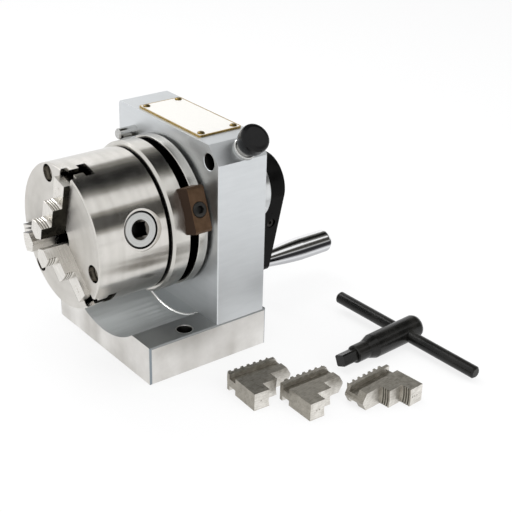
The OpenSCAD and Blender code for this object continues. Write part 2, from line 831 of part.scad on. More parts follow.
// Spiral ridge: the outline runs out along the outer flank and back along the inner one
module scroll_thread(sunk) {
    step = 7.5;
    count = floor((thread_end - thread_start) / scroll_pitch * 360 / step);
    radius = function (i) thread_start + scroll_pitch * i * step / 360;
    outer = [for (i = [0:count]) (radius(i) + ridge_half) * [cos(i * step), sin(i * step)]];
    inner = [for (i = [count:-1:0]) (radius(i) - ridge_half) * [cos(i * step), sin(i * step)]];
    translate([0, 0, -sunk]) linear_extrude(thread_h + sunk) polygon(concat(outer, inner));
}

// Wedge between two similar four-sided sections, each listed from the root
module tooth(section_a, section_b) {
    polyhedron(
        concat(section_a, section_b),
        [[3, 2, 1, 0], [4, 5, 6, 7], [0, 1, 5, 4], [1, 2, 6, 5], [2, 3, 7, 6], [3, 0, 4, 7]]
    );
}

// Section of a crown tooth at radius r, its tip towards the pinion
function crown_section(r) =
    let (k = r / gear_r)
    let (pitch_a = key_a + r * cone_rise)
    let (root = dedendum + 0.3, slope = tan(pressure))
    [
        [r, -k * (half_tooth + root * slope), pitch_a + k * root],
        [r, k * (half_tooth + root * slope), pitch_a + k * root],
        [r, k * (half_tooth - addendum * slope), pitch_a - k * addendum],
        [r, -k * (half_tooth - addendum * slope), pitch_a - k * addendum]
    ];

module scroll_plate() {
    root_rise = cone_rise + dedendum / gear_r;
    inner_r = hub_r + run;
    step_r = gear_in_r - 1.5;
    color("dimgray") union() {
        on_axis() rotate_extrude($fn = 128) polygon([
            [inner_r, key_a + 5.4], [step_r, key_a + 5.4], [step_r, key_a + step_r * root_rise],
            [scroll_r, key_a + scroll_r * root_rise], [scroll_r, scroll_face_a],
            [inner_r, scroll_face_a]
        ]);
        on_axis(scroll_face_a) rotate([0, 0, jaw_angle]) scroll_thread(0.5);
        for (i = [0:scroll_teeth - 1])
            on_axis() rotate([0, 0, key_angle + i * 360 / scroll_teeth])
                tooth(crown_section(gear_in_r), crown_section(gear_r));
    }
}

// Section of a pinion tooth at distance s from the spindle line
function pinion_section(s) =
    let (k = s / gear_r)
    let (root = pinion_pitch_r - dedendum - 0.5, tip = pinion_pitch_r + addendum)
    [
        [k * root, -k * flank(root), s],
        [k * root, k * flank(root), s],
        [k * pinion_pitch_r, k * flank(pinion_pitch_r), s],
        [k * tip, k * flank(tip), s],
        [k * tip, -k * flank(tip), s],
        [k * pinion_pitch_r, -k * flank(pinion_pitch_r), s]
    ];

module pinion_tooth() {
    near = pinion_section(gear_in_r);
    far = pinion_section(gear_r + 0.9);
    sides = [for (i = [0:5]) [i, (i + 1) % 6, (i + 1) % 6 + 6, i + 6]];
    polyhedron(
        concat(near, far),
        concat([[5, 4, 3, 2, 1, 0], [6, 7, 8, 9, 10, 11]], sides)
    );
}

module pinion(q) {
    root_k = (pinion_pitch_r - dedendum) / gear_r;
    neck_s = gear_r + 0.8;
    color("dimgray") radial(key_a, key_angle + q) difference() {
        union() {
            rotate_extrude() polygon([
                [0, hub_r - 3.3], [tail_r - 0.4, hub_r - 3.3], [tail_r, hub_r - 2.9],
                [tail_r, gear_in_r], [gear_in_r * root_k, gear_in_r], [neck_s * root_k, neck_s],
                [head_r, neck_s], [head_r, pin_groove[0]],
                [head_r - pin_groove_depth, pin_groove[0]],
                [head_r - pin_groove_depth, pin_groove[1]], [head_r, pin_groove[1]],
                [head_r, pinion_face_r - 0.6], [head_r - 0.6, pinion_face_r], [0, pinion_face_r]
            ]);
            for (i = [0:pinion_teeth - 1])
                rotate([0, 0, (i + 0.5) * 360 / pinion_teeth]) pinion_tooth();
        }
        translate([-socket_w / 2, -socket_w / 2, pinion_face_r - 9])
            cube([socket_w, socket_w, 10]);
        translate([0, 0, pinion_face_r - 2.2])
            cylinder(r1 = socket_w / 2, r2 = 7, h = 2.3);
    }
}

module pinion_1() { pinion(0); }
module pinion_2() { pinion(120); }
module pinion_3() { pinion(240); }

module pinion_pins() {
    color("lightgray")
        for (q = [0:120:240])
            on_axis(chuck_a + 0.2) rotate([0, 0, key_angle + q])
                translate([(pin_groove[0] + pin_groove[1]) / 2, 0, 0])
                    cylinder(r = pin_r, h = key_a - head_r + 1.4 - chuck_a - 0.2);
}

// Cover behind the scroll, with three pads that keep the scroll plate forward
module chuck_rear_cover() {
    pad_h = key_a + 5.4 - way - hub_end_a;
    color("silver") difference() {
        union() {
            on_axis(cover_back_a) ring(cavity_r - seat, chuck_bore_d / 2, cover_t);
            on_axis(hub_end_a) ring(24, hub_r + way, pad_h);
        }
        for (q = [0:120:240]) {
            on_axis() rotate([0, 0, key_angle + q])
                translate([hub_r - 1, -6, hub_end_a - 0.4]) cube([8, 12, pad_h + 1.4]);
            on_axis(cover_back_a) rotate([0, 0, jaw_angle + q])
                translate([(hub_r + chuck_bore_d / 2) / 2, 0, 0]) {
                    translate([0, 0, -cut]) cylinder(r = 2.3, h = cover_t + 2 * cut);
                    translate([0, 0, -0.01]) cylinder(r1 = 3.2, r2 = 2.2, h = 1.2);
                }
        }
    }
}

module cover_screws() {
    color("dimgray")
        for (q = [0:120:240])
            on_axis(cover_back_a) rotate([0, 0, jaw_angle + q])
                translate([(hub_r + chuck_bore_d / 2) / 2, 0, 0]) difference() {
                    rotate_extrude($fn = 32) polygon([
                        [0, 0.1], [3.1, 0.1], [2, 1.2], [2, cover_t + 8.5], [0, cover_t + 8.5]
                    ]);
                    cylinder(d = 2.5, h = 2, $fn = 6);
                }
}

// Block of a jaw from its tip outwards, its sides at the given half width
module jaw_block(half, from, to) {
    translate([0, -half, from]) cube([jaw_l, 2 * half, to - from]);
}

// Cuts the tip of a jaw to a wedge of 120 degrees with a narrow flat nose
module cut_nose(nose) {
    slope = tan(60);
    wide = jaw_w;
    for (side = [-1, 1]) translate([0, 0, tooth_tip_a - cut]) linear_extrude(2 * jaw_l) polygon([
        [-cut, side * (nose - slope * cut)], [(wide - nose) / slope, side * wide],
        [-cut, side * wide]
    ]);
}

// Land of an inside jaw that ends in an arc round the spindle line
module jaw_land(r, from, to) {
    half = jaw_w / 2;
    translate([0, 0, from]) linear_extrude(to - from) intersection() {
        translate([0, -half]) square([r - jaw_open + cut, 2 * half]);
        translate([-jaw_open, 0]) circle(r = r);
    }
}

// V grooves that roughen a gripping step
module grip_grooves(r, from, to) {
    gap = (to - from) / 4;
    for (i = [1:3])
        translate([-jaw_open, 0, from + i * gap])
            rotate_extrude() polygon([[r - 0.55, 0], [r + 0.1, -0.6], [r + 0.1, 0.6]]);
}

// Rack of a jaw: each tooth is a crescent that clears the scroll at every radius
module jaw_teeth(offset_r) {
    half = jaw_tooth_w / 2;
    first = ceil((jaw_open + 3.6 - offset_r) / scroll_pitch);
    last = floor((jaw_open + jaw_l - 1.4 - offset_r) / scroll_pitch);
    for (i = [first:last]) {
        r = offset_r + i * scroll_pitch;
        x = r - jaw_open;
        inner = scroll_r + 8;
        outer = max(0.72 * r, half + 1);
        translate([0, 0, tooth_tip_a]) linear_extrude(tooth_h + 0.5) difference() {
            intersection() {
                translate([x - 6, -half]) square([12, 2 * half]);
                translate([x + jaw_tooth_half - outer, 0]) circle(r = outer);
            }
            translate([x - jaw_tooth_half - inner, 0]) circle(r = inner);
        }
    }
}

// Foot shared by both kinds of jaw: tooth rack, guide, neck and shoulder
module jaw_foot(offset_r, top_a) {
    jaw_teeth(offset_r);
    jaw_block(jaw_w / 2, jaw_back_a, jaw_back_a + jaw_guide_t);
    jaw_block(neck_jaw_half, jaw_back_a + 0.5, rib_top_a + 0.5);
    jaw_block(jaw_w / 2, rib_top_a + way, top_a);
}

// Number of dots that marks a jaw and its way
module jaw_marks(n, z) {
    for (i = [1:n])
        translate([jaw_l - 3 - 2.2 * i, 0, z - 0.3]) cylinder(d = 1.1, h = 1, $fn = 16);
}

// Inside jaw: its steps rise towards the spindle line
module inside_jaw(n) {
    lands = [for (h = land_heights) face_a + h];
    color("gainsboro") on_axis() rotate([0, 0, jaw_angle + 120 * (n - 1)])
        translate([jaw_open, 0, 0]) difference() {
            union() {
                jaw_foot(jaw_offset(n), lands[0]);
                jaw_land(step_radii[0], lands[0] - 0.5, lands[1]);
                jaw_land(step_radii[1], lands[1] - 0.5, lands[2]);
            }
            cut_nose(jaw_nose);
            grip_grooves(step_radii[0], lands[0], lands[1]);
            grip_grooves(step_radii[1], lands[1], lands[2]);
            jaw_marks(n, lands[0]);
        }
}

// Radius of a thread gap on the line of jaw n, modulo the pitch
function jaw_offset(n) =
    let (gap = thread_start + scroll_pitch / 2 + scroll_pitch * (n - 1) / 3)
    gap - scroll_pitch * floor(gap / scroll_pitch);

module jaw_1() { inside_jaw(1); }
module jaw_2() { inside_jaw(2); }
module jaw_3() { inside_jaw(3); }

// Outside jaw: its steps rise away from the tip, with hollow arcs that face it
module outside_jaw(n) {
    half = jaw_w / 2;
    lands = [for (h = spare_lands) tooth_tip_a + h];
    color("darkgray") difference() {
        union() {
            jaw_foot(jaw_offset(n), lands[0]);
            for (i = [0, 1])
                translate([jaw_l - spare_steps[i] - spare_arc_r, 0, lands[i] - 0.5])
                    linear_extrude(lands[i + 1] - lands[i] + 0.5) difference() {
                        translate([spare_arc_r - 2, -half])
                            square([spare_steps[i] + 2, 2 * half]);
                        circle(r = spare_arc_r);
                    }
        }
        cut_nose(jaw_nose);
        for (i = [0, 1], k = [1:3])
            translate([
                jaw_l - spare_steps[i] - spare_arc_r, 0,
                lands[i] + k * (lands[i + 1] - lands[i]) / 4
            ])
                rotate_extrude() polygon([
                    [spare_arc_r - 0.1, -0.6], [spare_arc_r + 0.55, 0], [spare_arc_r - 0.1, 0.6]
                ]);
        jaw_marks(n, lands[2]);
    }
}

// The spare jaw points its tip along -Y or +Y and its height along +X
module spare_jaw(n, turn) {
    translate([spare_at[n - 1][0], spare_at[n - 1][1], jaw_w / 2])
        rotate([0, 0, spare_turns[n - 1]]) translate([-tooth_tip_a, 0, 0])
            rotate(120, [1, 1, 1]) rotate([0, 0, turn]) outside_jaw(n);
}

module spare_jaw_1() { spare_jaw(1, 180); }
module spare_jaw_2() { spare_jaw(2, 180); }
module spare_jaw_3() { spare_jaw(3, 0); }

// Dog: a block that bridges the groove, held by a tee nut
module dog_block() {
    l = dog_l / 2;
    w = dog_w / 2;
    c = 1.6;
    color("saddlebrown") on_axis(dog_a) rotate([0, 0, dog_angle]) difference() {
        translate([0, 0, -w]) linear_extrude(2 * w) difference() {
            polygon([
                [ring_r - 4, -l], [dog_top_r - c, -l], [dog_top_r, -l + c],
                [dog_top_r, l - c], [dog_top_r - c, l], [ring_r - 4, l]
            ]);
            circle(r = dog_seat_r, $fn = 128);
        }
        translate([ring_r + 5, 0, 0]) rotate([0, 90, 0]) screw_hole(m6, 12, 10);
    }
}

module dog_tee_nut() {
    stem = groove_w / 2 - way;
    head = groove_w / 2 + tee_side - way;
    half_angle = asin(tee_l / 2 / groove_r);
    mid_a = (groove_a + plate_a) / 2;
    color("dimgray") difference() {
        on_axis(mid_a) rotate([0, 0, dog_angle - half_angle])
            rotate_extrude(angle = 2 * half_angle, $fn = 128) polygon([
                [tee_bottom_r, -head], [tee_bottom_r + tee_h, -head], [tee_bottom_r + tee_h, -stem],
                [ring_r - 0.4, -stem], [ring_r - 0.4, stem], [tee_bottom_r + tee_h, stem],
                [tee_bottom_r + tee_h, head], [tee_bottom_r, head]
            ]);
        radial(dog_a, dog_angle) cylinder(r = m6[0] / 2 + seat, h = ring_r + 4);
    }
}

module dog_screw() {
    color("dimgray") radial(dog_a, dog_angle)
        translate([0, 0, ring_r + 5]) socket_screw(m6, ring_r + 5 - tee_bottom_r - 0.4);
}

// Crank blank: two round ends, and flanks that dip just inside their tangents
module crank_blank() {
    big = hub_d / 2 - flank_dip;
    small = crank_end_d / 2 - flank_dip;
    lean = asin((big - small) / crank_throw);
    cylinder(d = hub_d, h = crank_t);
    translate([0, -crank_throw, 0]) cylinder(d = crank_end_d, h = crank_t);
    linear_extrude(crank_t) polygon([
        [big * cos(lean), -big * sin(lean)],
        [small * cos(lean), -crank_throw - small * sin(lean)],
        [-small * cos(lean), -crank_throw - small * sin(lean)],
        [-big * cos(lean), -big * sin(lean)]
    ]);
}

module crank_arm() {
    clamp_x = 11;
    mid = crank_t / 2;
    color("black") on_axis(crank_back_a) difference() {
        crank_blank();
        translate([0, 0, -cut]) cylinder(r = seat_r + seat, h = crank_t + 2 * cut);
        translate([0, 0, crank_t - nut_h - 0.5]) cylinder(r = nut_out_r + 0.4, h = nut_h + cut);
        translate([-slit_w / 2, -slit_end, -cut])
            cube([slit_w, slit_end, crank_t + 2 * cut]);
        translate([0, -crank_throw, -cut]) cylinder(r = 4 + seat, h = crank_t - 1.6 + cut);
        translate([clamp_x, -clamp_drop, mid]) rotate([0, 90, 0]) {
            translate([0, 0, -2 * clamp_x]) cylinder(r = m4[0] / 2 + seat, h = 3 * clamp_x);
            cylinder(r = m4[1] / 2 + 0.2, h = 20);
        }
    }
}

module crank_clamp_screw() {
    color("dimgray") on_axis(crank_back_a)
        translate([11, -clamp_drop, crank_t / 2]) rotate([0, 90, 0]) socket_screw(m4, 21);
}

// Shoulder screw that the handle turns on
module handle_axle() {
    end_a = crank_back_a - handle_l + 2.2;
    color("dimgray") on_axis() translate([0, -crank_throw, 0]) difference() {
        rotate_extrude() polygon([
            [0, end_a], [5.6, end_a], [5.6, end_a + 4], [4, end_a + 4],
            [4, crank_a - 2], [0, crank_a - 2]
        ]);
        translate([-6, -0.6, end_a - cut]) cube([12, 1.2, 2.4]);
    }
}

// Turned handle: a taper, a belly and a round end
module handle_grip() {
    root = crank_back_a - 0.4;
    end = root - handle_l;
    belly = root - 0.54 * handle_l;
    shoulder = end + 4;
    head_a = crank_back_a - handle_l + 6.2 + free;
    r = handle_ds / 2;
    flare = [for (t = [0:0.125:1]) [
        r[0] + (r[1] - r[0]) * sin(70 * t) / sin(70), root - 0.5 - (root - 0.5 - belly) * t
    ]];
    round_end = [for (q = [0:15:75]) [
        r[2] - 4 + 4 * cos(q), shoulder - 4 * sin(q)
    ]];
    color("whitesmoke") on_axis() translate([0, -crank_throw, 0]) difference() {
        rotate_extrude() polygon(concat(
            [[0, root], [r[0] - 0.5, root]], flare, round_end, [[r[2] - 4, end], [0, end]]
        ));
        translate([0, 0, end - cut]) cylinder(r = 4 + run, h = handle_l + 2 * cut);
        translate([0, 0, end - cut]) cylinder(r = 6, h = head_a - end + cut);
    }
}

// Puts children on the line of the chuck key, with their +Z from its tip to its end
module on_key() {
    translate([key_at[0], key_at[1], key_d / 2])
        rotate([0, 0, key_turn]) rotate([-90, 0, 0]) rotate([0, 0, key_roll]) children();
}

// Chuck key: square tip, neck, cone and round body, with a bar pressed through it
module key_body() {
    r = key_d / 2;
    neck = key_neck_d / 2;
    color("black") on_key() difference() {
        union() {
            rotate([0, 0, -tip_roll]) translate([-key_tip / 2, -key_tip / 2, 0])
                linear_extrude(tip_l_key + 3) cut_rectangle(key_tip, key_tip, 0.9);
            rotate_extrude() polygon([
                [0, tip_l_key], [neck - 0.8, tip_l_key], [neck, tip_l_key + 0.8],
                [neck, neck_end], [neck + 0.6, neck_end + 1.6], [r - 0.6, cone_end - 1.2],
                [r, cone_end + 0.6], [r, key_l - 3], [r - 0.7, key_l - 1.1],
                [r - 2.6, key_l], [0, key_l]
            ]);
        }
        translate([0, 0, bar_at]) rotate([0, 90, 0])
            cylinder(r = bar_d / 2 + seat, h = 4 * r, center = true);
    }
}

module key_bar() {
    r = bar_d / 2;
    h = bar_l / 2;
    color("black") on_key() translate([bar_shift, 0, bar_at]) rotate([0, 90, 0])
        rotate_extrude() polygon([
            [0, -h], [r - 1.2, -h], [r, -h + 1.2], [r, h - 1.2], [r - 1.2, h], [0, h]
        ]);
}

base();
upright();
housing_screws();
locating_dowels();
nameplate();
nameplate_rivets();
stop_pin();
plunger_lock_screw();
plunger_barrel();
plunger_pin();
plunger_spring();
plunger_knob();
front_bush();
thrust_washer();
rear_housing();
rear_housing_screws();
rear_bush();
spindle();
slotted_flange();
flange_pins();
index_ring();
index_key();
lock_nut();
chuck_plate();
plate_screws();
chuck_body();
chuck_screws();
scroll_plate();
chuck_rear_cover();
cover_screws();
pinion_1();
pinion_2();
pinion_3();
pinion_pins();
jaw_1();
jaw_2();
jaw_3();
dog_block();
dog_tee_nut();
dog_screw();
crank_arm();
crank_clamp_screw();
handle_axle();
handle_grip();
key_body();
key_bar();
spare_jaw_1();
spare_jaw_2();
spare_jaw_3();
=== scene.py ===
"""Finishes, camera and light for a punch former: a three-jaw chuck on a cranked indexing spindle."""

import math

import bpy
import numpy as np
from mathutils import Matrix, Vector


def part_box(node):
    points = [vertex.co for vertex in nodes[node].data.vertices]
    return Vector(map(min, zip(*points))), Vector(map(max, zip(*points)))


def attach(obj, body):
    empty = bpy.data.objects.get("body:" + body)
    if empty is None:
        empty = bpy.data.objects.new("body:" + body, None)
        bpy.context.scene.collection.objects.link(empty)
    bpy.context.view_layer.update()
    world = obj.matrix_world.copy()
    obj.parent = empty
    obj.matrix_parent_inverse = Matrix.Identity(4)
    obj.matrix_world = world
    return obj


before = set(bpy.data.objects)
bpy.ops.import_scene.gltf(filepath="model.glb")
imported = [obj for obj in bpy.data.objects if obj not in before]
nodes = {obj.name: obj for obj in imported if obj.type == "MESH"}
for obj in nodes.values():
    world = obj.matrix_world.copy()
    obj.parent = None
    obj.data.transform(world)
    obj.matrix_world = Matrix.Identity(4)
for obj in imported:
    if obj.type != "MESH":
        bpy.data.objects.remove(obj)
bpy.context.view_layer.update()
scene = bpy.context.scene

MM = 0.001
# A place well past every part of the object
FAR = 1.0
# How far a mask reaches past a surface, so that it takes in the whole of it
NEAR = 0.3 * MM
# Inputs and output of a Mix node for numbers and for colours, which share their names
NUMBER_A, NUMBER_B, COLOUR_A, COLOUR_B, COLOUR_OUT = 2, 3, 6, 7, 2

# Lowest and highest corners of the pieces that the finishes are placed by
chuck_low, chuck_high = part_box("chuck_body")
pinion_low, pinion_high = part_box("pinion_1")
nut_low, nut_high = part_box("dog_tee_nut")
base_high, upright_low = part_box("base")[1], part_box("upright")[0]

AXIS_HEIGHT = (chuck_low.z + chuck_high.z) / 2
SPINDLE_LINE = (0, 0, AXIS_HEIGHT)
# Places along Y of the chuck's face and back, of the plate behind it, and of the dog's slot
CHUCK_FACE, CHUCK_BACK, PLATE_FRONT = chuck_low.y, chuck_high.y, chuck_high.y + 1.6 * MM
DOG_SLOT = (nut_low.y - NEAR, nut_high.y + NEAR)
BARREL_RADIUS = chuck_high.x
# Key sockets: angle of the first, place along Y, and radius of the pinion heads
KEY_ANGLE = 16.3
KEY_PLACE, HEAD_RADIUS = (pinion_low.y + pinion_high.y) / 2, (pinion_high.y - pinion_low.y) / 2
# Counterbores of the chuck's mounting screws: angle of the first, and radii of their circle and wall
BORE_ANGLE, BORE_CIRCLE, BORE_RADIUS = KEY_ANGLE + 90, 43.0 * MM, 6.1 * MM
# Lowest line and radius of the trough under the chuck
TROUGH_FLOOR, TROUGH_RADIUS = 15.4 * MM, 63.6 * MM
JAW_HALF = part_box("spare_jaw_1")[1].z / 2
# Depth of a gripping groove, and half its width on an inside and on a spare jaw
GROOVE_DEPTH, GROOVE_HALF, SPARE_GROOVE_HALF = 0.7 * MM, 0.42 * MM, 0.45 * MM
# Parts of a riser's height at which its three gripping grooves lie
GROOVE_PARTS = (0.25, 0.5, 0.75)
# Risers of the inside jaws: radius from the spindle line, and heights above the chuck's face
JAW_RISERS = [(28.6 * MM, 4.0 * MM, 10.7 * MM), (16.6 * MM, 10.7 * MM, 18.0 * MM)]
# Risers of the spare jaws: distance from the tip, and heights above the tips of the teeth
SPARE_RISERS = [(17.5 * MM, 19.1 * MM, 26.8 * MM), (29.1 * MM, 26.8 * MM, 34.8 * MM)]
SPARE_ARC = 30.0 * MM
# Places along X and Y and turns of the spare jaws, and the way along Y that each one's tail points
SPARE_PLACES = [((93.3, 31.5), -2.9, -1), ((122.3, 52.5), -1.1, -1), ((149.2, 44.4), 4.9, 1)]


def linear(hex_code):
    """Turns an sRGB hex value such as 'c8ccce' into linear red, green, blue and alpha."""
    values = [int(hex_code[i:i + 2], 16) / 255 for i in (0, 2, 4)]
    return [v / 12.92 if v <= 0.04045 else ((v + 0.055) / 1.055) ** 2.4 for v in values] + [1.0]


def add(tree, kind, links=None, take=0, stops=(), **settings):
    """Adds a node and gives back its outputs that take names: one, or a list of them.

    settings are its properties, links gives its inputs a value or a socket each, and stops are the
    positions and colours of a colour ramp.
    """
    made = tree.nodes.new(kind)
    for name, value in settings.items():
        setattr(made, name, value)
    for name, value in (links or {}).items():
        if isinstance(value, bpy.types.NodeSocket):
            tree.links.new(value, made.inputs[name])
        else:
            made.inputs[name].default_value = value
    if stops:
        elements = made.color_ramp.elements
        while len(elements) < len(stops):
            elements.new(0.5)
        for element, (position, colour) in zip(elements, stops):
            element.position = position
            element.color = linear(colour) if isinstance(colour, str) else colour
    if isinstance(take, list):
        return [made.outputs[name] for name in take]
    return made.outputs[take] if made.outputs else None


def new_material(name):
    """An empty material, its node tree, and the place of a point in the object's own coordinates."""
    material = bpy.data.materials.new(name)
    material.use_nodes = True
    tree = material.node_tree
    tree.nodes.clear()
    return material, tree, add(tree, "ShaderNodeTexCoord", take="Object")


def coat(tree, colour, rough, height=None, depth=0.0, strength=1.0, **sockets):
    """Gives a material its surface: bare metal, unless sockets say otherwise.

    A height makes relief of the given real depth in it.
    """
    links = {"Base Color": colour, "Metallic": 1.0, "Roughness": rough, **sockets}
    if height is not None:
        relief = {"Height": height, "Distance": depth, "Strength": strength}
        links["Normal"] = add(tree, "ShaderNodeBump", relief)
    surface = add(tree, "ShaderNodeBsdfPrincipled", links)
    add(tree, "ShaderNodeOutputMaterial", {"Surface": surface})


def grain(tree, point, size, detail=3.0, rough=0.5):
    """Noise with grains of a real size in millimetres: one for all ways, or one each for X, Y and Z."""
    cells = [1 / (width * MM) for width in np.broadcast_to(size, 3)]
    moved = add(tree, "ShaderNodeVectorMath", {0: point, 1: cells}, operation="MULTIPLY")
    return add(tree, "ShaderNodeTexNoise",
               {"Vector": moved, "Scale": 1.0, "Detail": detail, "Roughness": rough}, "Fac")


def mean(tree, first, second):
    """The mean of two patterns."""
    both = add(tree, "ShaderNodeMath", {0: first, 1: second}, operation="ADD")
    return add(tree, "ShaderNodeMath", {0: both, 1: 0.5}, operation="MULTIPLY")


def gloss_of(tree, pattern, rough, less=0.9, more=1.15):
    """Roughness that varies with a pattern, from less to more times its usual value."""
    return add(tree, "ShaderNodeMapRange", {
        "Value": pattern, "From Min": 0.3, "From Max": 0.7, "To Min": rough * less, "To Max": rough * more,
    })


def inside(tree, *ranges):
    """Mask: 1 where each value lies between its low and high limit, and 0 elsewhere."""
    mask = 1.0
    for value, low, high in ranges:
        middle, half = (low + high) / 2, (high - low) / 2
        near = add(tree, "ShaderNodeMath", {0: value, 1: middle, 2: half}, operation="COMPARE")
        mask = add(tree, "ShaderNodeMath", {0: near, 1: mask}, operation="MULTIPLY")
    return mask


def facing(tree, letter, start, end):
    """Mask by the way a surface faces along the X, Y or Z axis: 0 at the start share, 1 at the end one."""
    normal = add(tree, "ShaderNodeTexCoord", take="Normal")
    share = add(tree, "ShaderNodeSeparateXYZ", {0: normal}, letter)
    return add(tree, "ShaderNodeMapRange", {"Value": share, "From Min": start, "From Max": end})


def lay_over(tree, colour, layers):
    """Lays each mask's colour over a colour, one after the other."""
    for mask, other in layers:
        other = linear(other) if isinstance(other, str) else other
        colour = add(tree, "ShaderNodeMix", {0: mask, COLOUR_A: colour, COLOUR_B: other}, COLOUR_OUT,
                     data_type="RGBA")
    return colour


def from_line(tree, point, axis, centre):
    """Distance of a point from a line along the X, Y or Z axis through a centre."""
    keep = [0.0 if letter == axis else 1.0 for letter in "XYZ"]
    flat = add(tree, "ShaderNodeVectorMath", {0: point, 1: keep}, operation="MULTIPLY")
    place = [value * share for value, share in zip(centre, keep)]
    return add(tree, "ShaderNodeVectorMath", {0: flat, 1: place}, "Value", operation="DISTANCE")


def about_axis(tree, point):
    """Radius from the spindle line, place along it, and the unit vector away from it."""
    radius = from_line(tree, point, "Y", SPINDLE_LINE)
    offset = add(tree, "ShaderNodeVectorMath", {0: point, 1: SPINDLE_LINE}, operation="SUBTRACT")
    flat = add(tree, "ShaderNodeVectorMath", {0: offset, 1: (1, 0, 1)}, operation="MULTIPLY")
    outward = add(tree, "ShaderNodeVectorMath", {0: flat}, operation="NORMALIZE")
    return radius, add(tree, "ShaderNodeSeparateXYZ", {0: point}, "Y"), outward


def lathe_tangent(tree, outward):
    """Direction across the rings that a lathe leaves: along a turned barrel, and outwards on its face."""
    round_way = add(tree, "ShaderNodeVectorMath", {0: outward, 1: (0, 1, 0)}, operation="CROSS_PRODUCT")
    world_way = add(tree, "ShaderNodeVectorTransform", {"Vector": round_way},
                    vector_type="VECTOR", convert_from="OBJECT", convert_to="WORLD")
    normal = add(tree, "ShaderNodeNewGeometry", take="Normal")
    across = add(tree, "ShaderNodeVectorMath", {0: normal, 1: world_way}, operation="CROSS_PRODUCT")
    return add(tree, "ShaderNodeVectorMath", {0: across}, operation="NORMALIZE")


def key_radius(tree, point, angle):
    """Distance from the line of a key socket, and place along that line from the spindle."""
    turn = math.radians(angle)
    line = (math.cos(turn), 0, math.sin(turn))
    centre = (0, KEY_PLACE, AXIS_HEIGHT)
    offset = add(tree, "ShaderNodeVectorMath", {0: point, 1: centre}, operation="SUBTRACT")
    out = add(tree, "ShaderNodeVectorMath", {0: offset, 1: line}, "Value", operation="DOT_PRODUCT")
    sideways = add(tree, "ShaderNodeVectorMath", {0: offset, 1: line}, operation="CROSS_PRODUCT")
    return add(tree, "ShaderNodeVectorMath", {0: sideways}, "Value", operation="LENGTH"), out


def turned_steel(name, pale, dark, rough, black=(), sockets=(), bores=()):
    """Steel turned and polished on a lathe: rings of feed marks stretch each reflection along the barrel.

    black lists bands (widest radius, low, high along Y) that are painted nearly black,
    sockets the angles of the key sockets, each with a ring of painted shade in the gap round its
    pinion head, and bores the angles of the counterbores for the mounting screws, whose walls are
    painted a mid grey: bare steel with painted shade.
    """
    material, tree, point = new_material(name)
    radius, along, outward = about_axis(tree, point)
    ring_point = add(tree, "ShaderNodeCombineXYZ", {"X": radius, "Y": along})
    # Feed marks of the tool, which are drawn coarser than they are so that they show
    rings = grain(tree, ring_point, 0.4, 2.0)
    # Bands of polish
    bands = grain(tree, ring_point, 8.33)
    # Chatter: lines side by side round the barrel, which run along it
    barrel_point = add(tree, "ShaderNodeVectorMath", {0: outward, "Scale": BARREL_RADIUS}, operation="SCALE")
    chatter = grain(tree, barrel_point, 1.087, 3.0, 0.6)
    # Handling marks and a faint film of oil, in patches
    film = grain(tree, point, 16.7, 4.0, 0.6)
    colour = add(tree, "ShaderNodeValToRGB", {0: mean(tree, bands, film)},
                 stops=[(0.30, dark), (0.62, pale)])
    # The faced front is duller than the polished barrel
    front_rough = 0.45
    front = inside(tree, (along, CHUCK_FACE - NEAR, CHUCK_FACE + NEAR))
    polish = gloss_of(tree, film, rough, 0.85, 1.2)
    gloss = add(tree, "ShaderNodeMix", {0: front, NUMBER_A: polish, NUMBER_B: front_rough})
    # Bands painted nearly black: painted shade inside the chuck and in the gap behind it, and the dog's slot
    layers = [(inside(tree, (radius, -FAR, widest), (along, low, high)), "0d0d0c")
              for widest, low, high in black]
    # Counterbore walls: bare steel, painted a mid grey darker than the barrel as painted shade
    for angle in bores:
        turn = math.radians(angle)
        centre = (BORE_CIRCLE * math.cos(turn), 0, AXIS_HEIGHT + BORE_CIRCLE * math.sin(turn))
        across = from_line(tree, point, "Y", centre)
        wall = inside(tree, (across, 0.0, BORE_RADIUS + 0.2 * MM),
                      (along, CHUCK_FACE + NEAR, CHUCK_FACE + 2 * BORE_RADIUS))
        layers.append((wall, "a5a19a"))
    # Painted shade: a nearly black ring in the gap round each pinion head
    for angle in sockets:
        across, out = key_radius(tree, point, angle)
        gap = (across, HEAD_RADIUS - 0.1 * MM, HEAD_RADIUS + 0.8 * MM)
        layers.append((inside(tree, gap, (out, 0.0, FAR)), "10100f"))
    relief = add(tree, "ShaderNodeMath", {0: rings, 1: 0.12, 2: chatter}, operation="MULTIPLY_ADD")
    coat(tree, lay_over(tree, colour, layers), gloss, relief, 0.000012, 0.5,
         Anisotropic=0.85, Tangent=lathe_tangent(tree, outward))
    return material


def key_socket_steel(name, angle):
    """Turned and ground pinion head: a light ring face round a square socket whose inside is painted grey,
    and nearly black deeper down, as painted shade.
    """
    material, tree, point = new_material(name)
    # Reach of the socket's corners, and the radii from the spindle line below which it is in shade and dark
    corner, shaded, dark = 7.2 * MM, 47.0 * MM, 45.5 * MM
    radius, out = key_radius(tree, point, angle)
    # Feed marks, drawn coarser than they are
    rings = grain(tree, add(tree, "ShaderNodeCombineXYZ", {"X": radius}), 0.455, 2.0)
    colour = add(tree, "ShaderNodeValToRGB", {0: rings}, stops=[(0.3, "b9bab8"), (0.7, "d8d9d7")])
    # Painted shade: the socket's inside is painted grey, and nearly black below the dark radius
    socket = inside(tree, (radius, -corner, corner), (out, 0.0, shaded))
    colour = lay_over(tree, colour, [(socket, "6d6963"), (inside(tree, (out, 0.0, dark)), "191918")])
    coat(tree, colour, gloss_of(tree, rings, 0.31, 0.87, 1.13), rings, 0.00002, 0.3)
    return material


